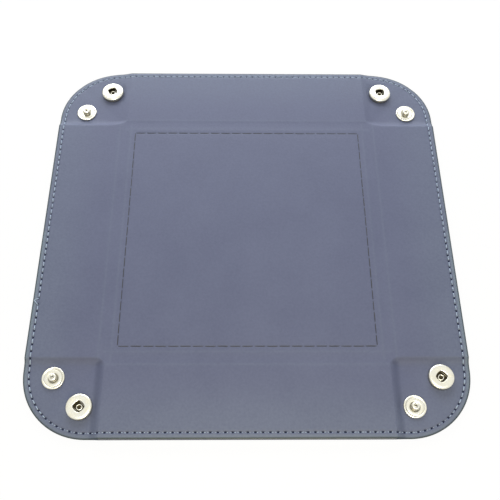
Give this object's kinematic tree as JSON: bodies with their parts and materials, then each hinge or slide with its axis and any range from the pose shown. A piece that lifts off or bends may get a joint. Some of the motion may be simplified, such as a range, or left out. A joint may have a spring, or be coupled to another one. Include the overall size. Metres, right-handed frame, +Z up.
{
  "type": "dice tray",
  "caption": "Square folding dice tray of faux leather over stiff boards; snap fasteners at its corner leaves hold the walls upright.",
  "frame": {"origin": "centre of the underside, on the face that the flat tray rests on", "axes": "+X to the right, +Y to the back, +Z up out of the lining"},
  "size_m": [0.205, 0.205, 0.0044],
  "materials": {
    "lining": "matte, finely mottled faux leather",
    "cover": "matte, finely grained faux leather",
    "leaf": "matte, finely mottled faux leather",
    "board": "raw grey board",
    "edge_thread": "light blue sewing thread",
    "square_thread": "dark grey-blue sewing thread",
    "nickel": "satin nickel plate",
    "spring": "drawn wire"
  },
  "bodies": {
    "base": {"base_board": "board", "base_lining": "lining", "base_cover": "cover", "square_stitching": "square_thread"},
    "right_wall": {"right_wall_board": "board", "right_wall_lining": "lining", "right_wall_cover": "cover", "right_wall_stitching": "edge_thread"},
    "back_wall": {"back_wall_board": "board", "back_wall_lining": "lining", "back_wall_cover": "cover", "back_wall_stitching": "edge_thread"},
    "left_wall": {"left_wall_board": "board", "left_wall_lining": "lining", "left_wall_cover": "cover", "left_wall_stitching": "edge_thread"},
    "front_wall": {"front_wall_board": "board", "front_wall_lining": "lining", "front_wall_cover": "cover", "front_wall_stitching": "edge_thread"},
    "right_wall_back_leaf": {"right_wall_back_leaf": "leaf", "right_wall_back_leaf_stitching": "edge_thread", "back_right_stud": "nickel", "back_right_stud_eyelet": "nickel"},
    "back_right_crease": {"back_right_crease": "leaf"},
    "right_wall_front_leaf": {"right_wall_front_leaf": "leaf", "right_wall_front_leaf_stitching": "edge_thread", "front_right_socket": "nickel", "front_right_socket_spring": "spring", "front_right_socket_cap": "nickel"},
    "back_wall_left_leaf": {"back_wall_left_leaf": "leaf", "back_wall_left_leaf_stitching": "edge_thread", "back_left_socket": "nickel", "back_left_socket_spring": "spring", "back_left_socket_cap": "nickel"},
    "back_left_crease": {"back_left_crease": "leaf"},
    "back_wall_right_leaf": {"back_wall_right_leaf": "leaf", "back_wall_right_leaf_stitching": "edge_thread", "back_right_socket": "nickel", "back_right_socket_spring": "spring", "back_right_socket_cap": "nickel"},
    "left_wall_front_leaf": {"left_wall_front_leaf": "leaf", "left_wall_front_leaf_stitching": "edge_thread", "front_left_stud": "nickel", "front_left_stud_eyelet": "nickel"},
    "front_left_crease": {"front_left_crease": "leaf"},
    "left_wall_back_leaf": {"left_wall_back_leaf": "leaf", "left_wall_back_leaf_stitching": "edge_thread", "back_left_stud": "nickel", "back_left_stud_eyelet": "nickel"},
    "front_wall_right_leaf": {"front_wall_right_leaf": "leaf", "front_wall_right_leaf_stitching": "edge_thread", "front_right_stud": "nickel", "front_right_stud_eyelet": "nickel"},
    "front_right_crease": {"front_right_crease": "leaf"},
    "front_wall_left_leaf": {"front_wall_left_leaf": "leaf", "front_wall_left_leaf_stitching": "edge_thread", "front_left_socket": "nickel", "front_left_socket_spring": "spring", "front_left_socket_cap": "nickel"}
  },
  "joints": [
    {"name": "right_wall_fold", "type": "hinge", "parent": "base", "child": "right_wall", "pos_m": [0.066, 0, 0.0036], "axis": [0, -1, 0], "range_deg": [0, 85]},
    {"name": "back_wall_fold", "type": "hinge", "parent": "base", "child": "back_wall", "pos_m": [0, 0.066, 0.0036], "axis": [1, 0, 0], "range_deg": [0, 85]},
    {"name": "left_wall_fold", "type": "hinge", "parent": "base", "child": "left_wall", "pos_m": [-0.066, 0, 0.0036], "axis": [0, 1, 0], "range_deg": [0, 85]},
    {"name": "front_wall_fold", "type": "hinge", "parent": "base", "child": "front_wall", "pos_m": [0, -0.066, 0.0036], "axis": [-1, 0, 0], "range_deg": [0, 85]},
    {"name": "right_wall_back_leaf_fold", "type": "hinge", "parent": "right_wall", "child": "right_wall_back_leaf", "pos_m": [0.066, 0.066, 0.0006], "axis": [-1, 0, 0], "range_deg": [0, 45.3]},
    {"name": "back_right_crease_fold", "type": "hinge", "parent": "right_wall_back_leaf", "child": "back_right_crease", "pos_m": [0.066, 0.066, 0.002], "axis": [0.7547, 0.6561, 0], "range_deg": [0, 87.6]},
    {"name": "right_wall_front_leaf_fold", "type": "hinge", "parent": "right_wall", "child": "right_wall_front_leaf", "pos_m": [0.066, -0.066, 0.0006], "axis": [1, 0, 0], "range_deg": [0, 45.3]},
    {"name": "back_wall_left_leaf_fold", "type": "hinge", "parent": "back_wall", "child": "back_wall_left_leaf", "pos_m": [-0.066, 0.066, 0.0006], "axis": [0, -1, 0], "range_deg": [0, 45.3]},
    {"name": "back_left_crease_fold", "type": "hinge", "parent": "back_wall_left_leaf", "child": "back_left_crease", "pos_m": [-0.066, 0.066, 0.002], "axis": [-0.6561, 0.7547, 0], "range_deg": [0, 87.6]},
    {"name": "back_wall_right_leaf_fold", "type": "hinge", "parent": "back_wall", "child": "back_wall_right_leaf", "pos_m": [0.066, 0.066, 0.0006], "axis": [0, 1, 0], "range_deg": [0, 45.3]},
    {"name": "left_wall_front_leaf_fold", "type": "hinge", "parent": "left_wall", "child": "left_wall_front_leaf", "pos_m": [-0.066, -0.066, 0.0006], "axis": [1, 0, 0], "range_deg": [0, 45.3]},
    {"name": "front_left_crease_fold", "type": "hinge", "parent": "left_wall_front_leaf", "child": "front_left_crease", "pos_m": [-0.066, -0.066, 0.002], "axis": [-0.7547, -0.6561, 0], "range_deg": [0, 87.6]},
    {"name": "left_wall_back_leaf_fold", "type": "hinge", "parent": "left_wall", "child": "left_wall_back_leaf", "pos_m": [-0.066, 0.066, 0.0006], "axis": [-1, 0, 0], "range_deg": [0, 45.3]},
    {"name": "front_wall_right_leaf_fold", "type": "hinge", "parent": "front_wall", "child": "front_wall_right_leaf", "pos_m": [0.066, -0.066, 0.0006], "axis": [0, 1, 0], "range_deg": [0, 45.3]},
    {"name": "front_right_crease_fold", "type": "hinge", "parent": "front_wall_right_leaf", "child": "front_right_crease", "pos_m": [0.066, -0.066, 0.002], "axis": [0.6561, -0.7547, 0], "range_deg": [0, 87.6]},
    {"name": "front_wall_left_leaf_fold", "type": "hinge", "parent": "front_wall", "child": "front_wall_left_leaf", "pos_m": [-0.066, -0.066, 0.0006], "axis": [0, -1, 0], "range_deg": [0, 45.3]}
  ],
  "couplings": [
    {"joint": "back_wall_fold", "follows": "right_wall_fold", "ratio": 1},
    {"joint": "left_wall_fold", "follows": "right_wall_fold", "ratio": 1},
    {"joint": "front_wall_fold", "follows": "right_wall_fold", "ratio": 1},
    {"joint": "right_wall_back_leaf_fold", "follows": "right_wall_fold", "ratio": 0.532},
    {"joint": "back_right_crease_fold", "follows": "right_wall_fold", "ratio": 1.03},
    {"joint": "right_wall_front_leaf_fold", "follows": "right_wall_fold", "ratio": 0.532},
    {"joint": "back_wall_left_leaf_fold", "follows": "right_wall_fold", "ratio": 0.532},
    {"joint": "back_left_crease_fold", "follows": "right_wall_fold", "ratio": 1.03},
    {"joint": "back_wall_right_leaf_fold", "follows": "right_wall_fold", "ratio": 0.532},
    {"joint": "left_wall_front_leaf_fold", "follows": "right_wall_fold", "ratio": 0.532},
    {"joint": "front_left_crease_fold", "follows": "right_wall_fold", "ratio": 1.03},
    {"joint": "left_wall_back_leaf_fold", "follows": "right_wall_fold", "ratio": 0.532},
    {"joint": "front_wall_right_leaf_fold", "follows": "right_wall_fold", "ratio": 0.532},
    {"joint": "front_right_crease_fold", "follows": "right_wall_fold", "ratio": 1.03},
    {"joint": "front_wall_left_leaf_fold", "follows": "right_wall_fold", "ratio": 0.532}
  ]
}
